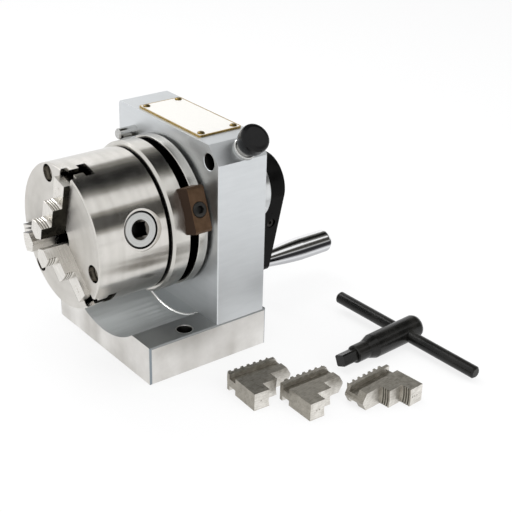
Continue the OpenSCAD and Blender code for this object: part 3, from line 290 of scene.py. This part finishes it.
def inside_jaw_steel(name, angle):
    """Hardened jaw, ground bright on its lands and one flank; the other flank is painted nearly black as a
    painted dark reflection.

    The risers carry three gripping grooves each, painted darker than the ribs between them as painted shade,
    and the part of the jaw down in its slot is painted nearly black as painted shade.
    """
    material, tree, point = new_material(name)
    turn = math.radians(angle)
    offset = add(tree, "ShaderNodeVectorMath", {0: point, 1: SPINDLE_LINE}, operation="SUBTRACT")
    out, side = (add(tree, "ShaderNodeVectorMath", {0: offset, 1: way}, "Value", operation="DOT_PRODUCT")
                 for way in ((math.cos(turn), 0, math.sin(turn)), (math.sin(turn), 0, -math.cos(turn))))
    along = add(tree, "ShaderNodeSeparateXYZ", {0: offset}, "Y")
    # Grinding lines, long along the jaw and drawn coarser across it than they are, and faint clouds
    line_point = add(tree, "ShaderNodeCombineXYZ", {"X": side, "Y": along, "Z": out})
    lines = grain(tree, line_point, (0.3333, 0.3333, 8.33), 2.0)
    clouds = grain(tree, point, 6.67)
    colour = add(tree, "ShaderNodeValToRGB", {0: lines}, stops=[(0.3, "cfccc6"), (0.7, "ebe8e3")])
    # Nearly black with faint clouds: the painted dark reflection on one flank, and painted shade down in the
    # slot
    painted_reflection_and_shade = add(tree, "ShaderNodeValToRGB", {0: clouds}, stops=[(0.3, "1d1c19"), (0.7, "35332d")])
    level = add(tree, "ShaderNodeCombineXYZ", {"X": side, "Y": out})
    radius = add(tree, "ShaderNodeVectorMath", {0: level}, "Value", operation="LENGTH")
    layers = []
    for step, low, high in JAW_RISERS:
        for part in GROOVE_PARTS:
            place = CHUCK_FACE - (low + (high - low) * part)
            # Painted shade: each gripping groove is painted darker than the ribs
            groove = inside(tree, (radius, step - GROOVE_DEPTH, step + 0.1 * MM),
                            (along, place - GROOVE_HALF, place + GROOVE_HALF))
            layers.append((groove, "77746b"))
    # Painted dark reflection: the far flank is painted nearly black
    layers.append((inside(tree, (side, JAW_HALF - 0.2 * MM, JAW_HALF + 1.0 * MM)), painted_reflection_and_shade))
    # Painted shade: the part of the jaw down in the chuck's slot is painted nearly black
    layers.append((inside(tree, (along, CHUCK_FACE + 1.5 * MM, FAR)), painted_reflection_and_shade))
    colour = lay_over(tree, colour, layers)
    coat(tree, colour, gloss_of(tree, clouds, 0.29, 0.83, 1.17), lines, 0.00002, 0.25)
    return material


def spare_jaw_steel(name, place, turn, flip):
    """Hardened spare jaw, dull grey-brown from heat treatment.

    Its ground lands are lighter, and the grooves of its risers are painted dark as painted shade.
    """
    material, tree, point = new_material(name)
    offset = add(tree, "ShaderNodeVectorMath", {0: point, 1: (place[0] * MM, place[1] * MM, 0)},
                 operation="SUBTRACT")
    local = add(tree, "ShaderNodeVectorRotate", {"Vector": offset, "Angle": -math.radians(turn)},
                rotation_type="Z_AXIS")
    height, tail, up = add(tree, "ShaderNodeSeparateXYZ", {0: local}, ["X", "Y", "Z"])
    # Grinding lines along the jaw, drawn coarser than they are, and heat stains
    lines = grain(tree, local, (0.417, 3.33, 0.417), 2.0)
    stains = grain(tree, point, 3.85, 4.0, 0.6)
    mixed = mean(tree, lines, stains)
    colour = add(tree, "ShaderNodeValToRGB", {0: mixed}, stops=[(0.35, "827e75"), (0.62, "b4afa5")])
    bright = add(tree, "ShaderNodeValToRGB", {0: mixed}, stops=[(0.35, "c6c2ba"), (0.62, "f0ede7")])
    layers = [(facing(tree, "X", 0.79, 0.81), bright)]
    for start, low, high in SPARE_RISERS:
        # The risers are hollow arcs, so each groove is found by its distance from their centre
        centre = add(tree, "ShaderNodeMath", {0: tail, 1: flip, 2: SPARE_ARC - start},
                     operation="MULTIPLY_ADD")
        upward = add(tree, "ShaderNodeMath", {0: up, 1: JAW_HALF}, operation="SUBTRACT")
        level = add(tree, "ShaderNodeCombineXYZ", {"X": centre, "Y": upward})
        radius = add(tree, "ShaderNodeVectorMath", {0: level}, "Value", operation="LENGTH")
        for part in GROOVE_PARTS:
            middle = low + (high - low) * part
            # Painted shade: each groove of a riser is painted dark
            groove = inside(tree, (radius, SPARE_ARC - 0.2 * MM, SPARE_ARC + GROOVE_DEPTH),
                            (height, middle - SPARE_GROOVE_HALF, middle + SPARE_GROOVE_HALF))
            layers.append((groove, "4a473f"))
    colour = lay_over(tree, colour, layers)
    coat(tree, colour, gloss_of(tree, stains, 0.42, 0.81, 1.19), mixed, 0.00003, 0.35)
    return material


def ground_steel(name, pale, dark, rough, size, marks=0.3, details=None):
    """Steel from a surface grinder: streaks of a real size in millimetres, and soft cloudy patches.

    details gives more masks to lay over it, each with its colour and roughness.
    """
    material, tree, point = new_material(name)
    streaks = grain(tree, point, size)
    # Cloudy patches, where the wheel ran light or heavy
    clouds = grain(tree, point, 29.4, 4.0, 0.55)
    colour = add(tree, "ShaderNodeValToRGB", {0: mean(tree, streaks, clouds)},
                 stops=[(0.36, dark), (0.62, pale)])
    gloss = gloss_of(tree, clouds, rough)
    for mask, other, other_rough in (details(tree, point) if details else []):
        colour = lay_over(tree, colour, [(mask, other)])
        gloss = add(tree, "ShaderNodeMix", {0: mask, NUMBER_A: gloss, NUMBER_B: other_rough})
    coat(tree, colour, gloss, streaks, 0.00002, marks)
    return material


def base_details(tree, point):
    """Masks of the base: top faces and the trough painted a darker bluish grey as a painted reflection of
    the upright, the trough's end wall, table holes with painted highlights on their rims and painted shade
    inside, and corners with a dark line of painted shade.
    """
    hole_place, hole_radius, rim_width = (52 * MM, 14.8 * MM, 0), 5.5 * MM, 0.8 * MM
    trough_half, corner_reach = 45 * MM, 1.25 * MM
    lowest, wall_y = TROUGH_FLOOR - NEAR, upright_low.y
    x, y, z = add(tree, "ShaderNodeSeparateXYZ", {0: point}, ["X", "Y", "Z"])
    mirrored = add(tree, "ShaderNodeVectorMath", {0: point}, operation="ABSOLUTE")
    hole = from_line(tree, mirrored, "Z", hole_place)
    # Painted reflection: upward faces, and the trough more so, are painted a darker bluish grey
    top = facing(tree, "Z", 0.3, 0.7)
    sunk = inside(tree, (z, lowest, base_high.z - 0.8 * MM), (y, -FAR, wall_y - 0.2 * MM))
    trough = add(tree, "ShaderNodeMath", {0: top, 1: sunk}, operation="MULTIPLY")
    wall = inside(tree, (z, lowest, base_high.z - 0.1 * MM), (y, wall_y - NEAR, wall_y + NEAR),
                  (x, -trough_half, trough_half))
    # Painted highlight: a pale ring round each table hole
    near_hole = inside(tree, (hole, hole_radius - 0.1 * MM, hole_radius + rim_width), (y, -FAR, 0.0))
    rim = add(tree, "ShaderNodeMath", {0: top, 1: near_hole}, operation="MULTIPLY")
    # Painted shade: the inside of each table hole is painted dark
    bore = inside(tree, (hole, -FAR, hole_radius + NEAR), (y, -FAR, 0.0), (z, -FAR, base_high.z - 0.6 * MM))
    # Painted shade: a dark bluish line along each upright corner
    corner = inside(tree, (from_line(tree, mirrored, "Z", base_high), -FAR, corner_reach))
    return [(top, "b6b9ba", 0.46), (trough, "a9acac", 0.62), (wall, "cfd3d5", 0.4), (rim, "efefec", 0.3),
            (bore, "3e3d3a", 0.4), (corner, "8d959b", 0.4)]


def upright_details(tree, point):
    """Mask of the upright: the bore of the plunger's lock screw is painted nearly black inside as painted
    shade.
    """
    low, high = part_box("plunger_lock_screw")
    bore_radius = (high.x - low.x) / 2 + 0.5 * MM
    across = from_line(tree, point, "Y", (low + high) / 2)
    depth = add(tree, "ShaderNodeSeparateXYZ", {0: point}, "Y")
    return [(inside(tree, (across, -FAR, bore_radius), (depth, upright_low.y + NEAR, FAR)), "1a1a19", 0.4)]


def dog_details(tree, point):
    """Mask of the dog: the side that faces the chuck is painted darker as painted shade, and is duller than
    its ground top.
    """
    return [(facing(tree, "Y", -0.4, -0.8), "4a392e", 0.6)]


def black_finish(name, pale, dark, rough, sheen=0.3):
    """Hot salt blacking or black paint: nearly black, with a satin gloss and slightly paler patches."""
    material, tree, point = new_material(name)
    # Crystals of the salt or grains of the paint, drawn coarser than they are, and paler patches
    crystals = grain(tree, point, 0.385, 2.0)
    clouds = grain(tree, point, 11.1, 4.0, 0.6)
    colour = add(tree, "ShaderNodeValToRGB", {0: clouds}, stops=[(0.35, dark), (0.75, pale)])
    coat(tree, colour, gloss_of(tree, clouds, rough, 0.8, 1.25), crystals, 0.00003, 0.25,
         **{"Metallic": 0.0, "Specular IOR Level": sheen})
    return material


def glossy_phenolic(name):
    """Phenolic resin pressed in a polished mould: deep black with a clear gloss."""
    material, tree, point = new_material(name)
    ripple = grain(tree, point, 4.55, 2.0)
    coat(tree, linear("060607"), gloss_of(tree, ripple, 0.2, 0.8, 1.2), ripple, 0.00005, 0.15,
         **{"Metallic": 0.0, "Specular IOR Level": 0.25})
    return material


def chrome_plate(name):
    """Hard chrome over polished steel: a clear mirror with a faint buffing haze.

    Its colour is a painted reflection of the studio set by the way each surface faces: dark streaks on its
    sides, one above and one below the middle, between paler bands.
    """
    material, tree, point = new_material(name)
    haze = grain(tree, point, 3.33)
    side = facing(tree, "Z", -1.0, 1.0)
    # Painted reflection: light and dark bands by how far the surface faces up or down
    streaks = add(tree, "ShaderNodeValToRGB", {0: side}, stops=[
        (0.00, "8a8b8e"), (0.30, "b9babd"), (0.42, "e4e5e7"), (0.50, "5a5a5d"),
        (0.58, "1c1c1e"), (0.66, "3a3a3c"), (0.72, "e6e7e9"), (1.00, "f2f2f4"),
    ])
    coat(tree, streaks, gloss_of(tree, haze, 0.085, 0.7, 1.3))
    return material


def plated_name_panel(name, centre, size, rim):
    """Etched brass panel: a bare gold rim round a field of white enamel."""
    material, tree, point = new_material(name)
    x, y = add(tree, "ShaderNodeSeparateXYZ", {0: point}, ["X", "Y"])
    field = inside(tree, *((value, middle - half + rim, middle + half - rim)
                           for value, middle, half in zip((x, y), centre, size)))
    speckle = grain(tree, point, 1.11)
    gold = add(tree, "ShaderNodeValToRGB", {0: speckle}, stops=[(0.3, "8f7640"), (0.7, "c9ad6c")])
    enamel = add(tree, "ShaderNodeValToRGB", {0: speckle}, stops=[(0.3, "dcdad5"), (0.7, "e2e0db")])
    bare = add(tree, "ShaderNodeMath", {0: 1.0, 1: field}, operation="SUBTRACT")
    colour = lay_over(tree, gold, [(field, enamel)])
    coat(tree, colour, gloss_of(tree, speckle, 0.34, 0.85, 1.15), Metallic=bare)
    return material


def dress(material, *names):
    """Gives CAD nodes one material."""
    for name in names:
        mesh = nodes[name].data
        mesh.materials.clear()
        mesh.materials.append(material)


def ease_edges(width, *names):
    """Breaks the sharp edges of CAD nodes with a small round, as a file or a tumbler does."""
    for name in names:
        weld = nodes[name].modifiers.new("weld", "WELD")
        weld.merge_threshold = 0.002 * MM
        bevel = nodes[name].modifiers.new("eased_edges", "BEVEL")
        bevel.width = width
        bevel.segments = 2
        bevel.limit_method = "ANGLE"
        bevel.angle_limit = math.radians(50)
        bevel.harden_normals = True


def dress_all():
    """Gives every CAD node its finish."""
    # Bands painted nearly black: the inside of the chuck and the gap behind it as painted shade, and the
    # dog's slot
    painted_shade_inside = (47.3 * MM, CHUCK_FACE + 0.6 * MM, CHUCK_BACK + NEAR)
    relief = (49.4 * MM, CHUCK_BACK - NEAR, PLATE_FRONT + 0.1 * MM)
    dog_slot = (51.6 * MM, *DOG_SLOT)
    sockets, bores = ([first + 120 * turn for turn in range(3)] for first in (KEY_ANGLE, BORE_ANGLE))
    dress(turned_steel("turned_chuck_steel", "dcd9d4", "c9c6c0", 0.2,
                       [painted_shade_inside, relief], sockets, bores), "chuck_body")
    dress(turned_steel("turned_plate_steel", "d9d7d2", "c4c1bb", 0.22, [relief, dog_slot]),
          "chuck_plate", "slotted_flange", "spindle", "flange_pins", "chuck_rear_cover", "index_ring")
    dress(turned_steel("turned_housing_steel", "dddfe0", "c4c7c9", 0.3), "rear_housing")
    dress(ground_steel("ground_base_steel", "eceae7", "c4c1bc", 0.38, (29.4, 29.4, 200), 0.07,
                       base_details), "base")
    dress(ground_steel("ground_upright_steel", "dadddf", "d4d7d9", 0.4, (20, 20, 3.33), 0.02,
                       upright_details), "upright")
    for number in (1, 2, 3):
        angle = KEY_ANGLE + 120 * (number - 1)
        dress(key_socket_steel(f"turned_pinion_steel_{number}", angle), f"pinion_{number}")
        dress(inside_jaw_steel(f"ground_jaw_steel_{number}", angle + 60), f"jaw_{number}")
        dress(spare_jaw_steel(f"hardened_spare_jaw_steel_{number}", *SPARE_PLACES[number - 1]),
              f"spare_jaw_{number}")
    dress(ground_steel("ground_pin_steel", "d0d0ce", "a6a6a4", 0.18, 0.667),
          "stop_pin", "plunger_barrel", "plunger_pin", "locating_dowels", "pinion_pins")
    dress(black_finish("black_oxide_steel", "232220", "0d0d0c", 0.26), "key_body", "key_bar", "scroll_plate")
    dress(black_finish("black_enamel_paint", "121212", "0c0c0c", 0.3, 0.05), "crank_arm")
    dress(black_finish("black_screw_steel", "3a3835", "161615", 0.38),
          "housing_screws", "plunger_lock_screw", "plunger_spring", "rear_housing_screws", "index_key",
          "lock_nut", "plate_screws", "cover_screws", "dog_tee_nut", "dog_screw", "crank_clamp_screw",
          "handle_axle")
    dress(ground_steel("oiled_screw_steel", "b9b4ab", "8c867c", 0.3, 1.11), "chuck_screws")
    dress(ground_steel("browned_dog_steel", "705946", "594636", 0.5, 3.85, 0.1, dog_details), "dog_block")
    dress(ground_steel("turned_bronze", "b08a5c", "7c5c38", 0.35, 1.11),
          "front_bush", "thrust_washer", "rear_bush")
    dress(ground_steel("dull_brass", "8d7845", "5a4a28", 0.35, 1.11), "nameplate_rivets")
    dress(glossy_phenolic("glossy_phenolic_black"), "plunger_knob")
    dress(chrome_plate("hard_chrome"), "handle_grip")
    low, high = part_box("nameplate")
    dress(plated_name_panel("brass_and_enamel_plate", (low + high) / 2, (high - low) / 2, 1.0 * MM),
          "nameplate")
    ease_edges(0.5 * MM, "base", "upright")
    ease_edges(0.3 * MM, "dog_block", "jaw_1", "jaw_2", "jaw_3",
               "spare_jaw_1", "spare_jaw_2", "spare_jaw_3")


def trough_edge():
    """Bright line at the foot of the upright's wall, where the trough's cutter ended: a fillet strip whose
    pale, glossy steel is a painted highlight.

    A strip is carried along the arc of the trough: its section is a quarter circle of radius f that
    fills the corner between the trough and the wall. A point is at angle a along the arc and b round
    the section, at distance R - f + f sin b from the arc's centre and f - f cos b in front of the wall.
    It stands a hair clear of the wall, sinks as much into the trough, and ends where the trough's
    eased edge starts.
    """
    fillet, hair, eased = 1.3 * MM, 0.02 * MM, 0.5 * MM
    reach = math.acos((TROUGH_FLOOR + TROUGH_RADIUS - base_high.z + eased) / TROUGH_RADIUS)
    a, b = np.meshgrid(np.linspace(-reach, reach, 97), np.linspace(0.0, math.pi / 2, 7), indexing="ij")
    distance = TROUGH_RADIUS - fillet + fillet * np.sin(b) + hair
    y = upright_low.y - hair - (fillet - fillet * np.cos(b))
    z = TROUGH_FLOOR + TROUGH_RADIUS - distance * np.cos(a)
    points = np.stack([distance * np.sin(a), y, z], -1).reshape(-1, 3)
    rows, columns = a.shape
    first = (np.arange(rows - 1)[:, None] * columns + np.arange(columns - 1)).ravel()
    faces = np.stack([first, first + 1, first + columns + 1, first + columns], 1)
    mesh = bpy.data.meshes.new("trough_edge")
    mesh.from_pydata(points.tolist(), [], faces.tolist())
    mesh.polygons.foreach_set("use_smooth", [True] * len(faces))
    edge = bpy.data.objects.new("trough_edge", mesh)
    scene.collection.objects.link(edge)
    # Painted highlight: the strip's steel is paler and glossier than the base
    bright = ground_steel("painted_highlight_edge_steel", "f2f2f0", "e2e2e0", 0.22, 1.11, 0.1)
    mesh.materials.append(bright)
    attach(edge, "frame")


def seen_directly(tree):
    """1 for rays from the camera and for reflections and clear refractions of it."""
    camera, glossy, clear = add(tree, "ShaderNodeLightPath",
                                take=["Is Camera Ray", "Is Glossy Ray", "Is Transmission Ray"])
    seen = add(tree, "ShaderNodeMath", {0: camera, 1: glossy}, operation="MAXIMUM")
    return add(tree, "ShaderNodeMath", {0: seen, 1: clear}, operation="MAXIMUM")


def sheet(name, corners, material):
    """A flat four-cornered sheet of the studio, which isn't part of the object."""
    mesh = bpy.data.meshes.new(name)
    mesh.from_pydata([tuple(corner) for corner in corners], [], [(0, 1, 2, 3)])
    mesh.materials.append(material)
    made = bpy.data.objects.new(name, mesh)
    scene.collection.objects.link(made)
    return made


def build_floor():
    """A flat white sheet far wider than the set, which keeps a soft shadow of the object."""
    reach, glow_share = 60.0, 0.8
    material, tree, _ = new_material("white_paper_floor")
    paper = add(tree, "ShaderNodeBsdfDiffuse", {"Color": linear("f4f4f4")})
    glow = add(tree, "ShaderNodeEmission", {"Color": (1, 1, 1, 1), "Strength": seen_directly(tree)})
    lift = add(tree, "ShaderNodeMixShader", {0: glow_share, 1: paper, 2: glow})
    add(tree, "ShaderNodeOutputMaterial", {"Surface": lift})
    sheet("studio_floor", np.array([[-1, -1, 0], [1, -1, 0], [1, 1, 0], [-1, 1, 0]]) * reach, material)


def build_world():
    """A white room, with soft light that is brightest on the right."""
    world = bpy.data.worlds.new("studio")
    scene.world = world
    world.use_nodes = True
    tree = world.node_tree
    tree.nodes.clear()
    direction = add(tree, "ShaderNodeTexCoord", take="Generated")
    bright_side = Vector((0.75, 0.6, 0.3)).normalized()
    towards = add(tree, "ShaderNodeVectorMath", {0: direction, 1: bright_side}, "Value",
                  operation="DOT_PRODUCT")
    share = add(tree, "ShaderNodeMapRange", {"Value": towards, "From Min": -1.0, "From Max": 1.0})
    studio = add(tree, "ShaderNodeValToRGB", {0: share}, stops=[
        (0.0, (0.30, 0.30, 0.31, 1)), (0.5, (0.50, 0.51, 0.52, 1)), (1.0, (0.95, 0.95, 0.95, 1))])
    colour = lay_over(tree, studio, [(seen_directly(tree), (1, 1, 1, 1))])
    background = add(tree, "ShaderNodeBackground", {"Color": colour, "Strength": 1.0})
    add(tree, "ShaderNodeOutputWorld", {"Surface": background})


def flag(name, centre, towards, width, height, shade):
    """A dark cloth that only reflections see: it gives polished metal its dark bands.

    Its corners lie half a width to each side of the centre, and half a height along Y.
    """
    facing_way = (towards - centre).normalized()
    along = (Vector((0, 1, 0)) - facing_way * facing_way.y).normalized()
    across = along.cross(facing_way)
    corners = [centre + across * (width / 2 * u) + along * (height / 2 * v)
               for u, v in ((-1, -1), (1, -1), (1, 1), (-1, 1))]
    material, tree, _ = new_material(name + "_cloth")
    dark = add(tree, "ShaderNodeEmission", {"Color": linear(shade), "Strength": 1.0})
    add(tree, "ShaderNodeOutputMaterial", {"Surface": dark})
    cloth = sheet(name, corners, material)
    cloth.visible_camera = False
    cloth.visible_diffuse = False
    cloth.visible_transmission = False
    cloth.visible_shadow = False


def build_flags():
    """Dark cloths where the chuck's barrel mirrors them as bands: overhead, and beside the camera.

    Each is given by the two angles round the spindle line between which it stands, its distance
    from the chuck and its shade. A darker one stands in front of a paler one, so that a band
    deepens towards its middle.
    """
    chuck = Vector((0.0, -0.05, AXIS_HEIGHT))
    # Shares of a way from the chuck that lie across the spindle line and along it
    across_share, along_share = 0.8325, 0.554
    for name, first, last, distance, shade in (
        ("overhead_flag_pale", 71, 131, 1.50, "85847f"), ("overhead_flag", 79, 119, 1.45, "4a4a47"),
        ("overhead_flag_dark", 87, 109, 1.40, "141413"),
        ("side_flag_pale", 14, 49, 1.50, "9a9892"), ("side_flag", 20, 43, 1.45, "42413e"),
    ):
        turn = math.radians((first + last) / 2)
        way = Vector((across_share * math.cos(turn), along_share, across_share * math.sin(turn)))
        width = 2 * across_share * distance * math.tan(math.radians(last - first) / 2)
        flag(name, chuck + way * distance, chuck, width, 1.8, shade)


def softbox(name, place, width, height, watts, mirrored=False):
    """A rectangular studio lamp aimed at the object; polished metal mirrors only some of them."""
    lamp = bpy.data.lights.new(name, "AREA")
    lamp.shape = "RECTANGLE"
    lamp.size = width
    lamp.size_y = height
    lamp.energy = watts
    box = bpy.data.objects.new(name, lamp)
    box.location = place
    box.rotation_euler = (Vector((0.0, 0.0, 0.08)) - Vector(place)).to_track_quat("-Z", "Y").to_euler()
    box.visible_glossy = mirrored
    scene.collection.objects.link(box)


def build_camera():
    """Camera solved from the straight edges and turned circles of the object in the photograph."""
    place = Vector((615.2, -398.9, 420.7)) * MM
    back = Vector((0.69992, -0.55392, 0.45088))
    level = Vector((0.62057, 0.78415, 0.0))
    upward = back.cross(level)
    roll = math.radians(1.48)
    right = level * math.cos(roll) + upward * math.sin(roll)
    up = upward * math.cos(roll) - level * math.sin(roll)
    # Focal length in pixels of a 512 pixel frame, and the place of the view's centre in it
    picture, focal, centre = 512, 1145.9, (256.69, 267.18)
    lens = bpy.data.cameras.new("view")
    lens.sensor_width = 36.0
    lens.lens = focal / picture * lens.sensor_width
    lens.shift_x = (picture / 2 - centre[0]) / picture
    lens.shift_y = (centre[1] - picture / 2) / picture
    camera = bpy.data.objects.new("view", lens)
    turn = Matrix((right, up, back)).transposed().to_4x4()
    camera.matrix_world = Matrix.Translation(place) @ turn
    scene.collection.objects.link(camera)
    scene.camera = camera


build_camera()
dress_all()
trough_edge()
build_floor()
build_world()
build_flags()
softbox("top_softbox", (-0.2, -0.1, 1.2), 1.0, 1.0, 6)
softbox("right_softbox", (1.2, 0.3, 0.7), 0.7, 1.0, 6)
softbox("front_softbox", (-0.7, -1.1, 0.6), 0.5, 0.8, 3)
# Gives black and dull surfaces their lighter streaks
softbox("left_softbox", (-0.91, -0.06, 0.99), 0.45, 0.5, 4, mirrored=True)
scene.view_settings.view_transform = "Standard"
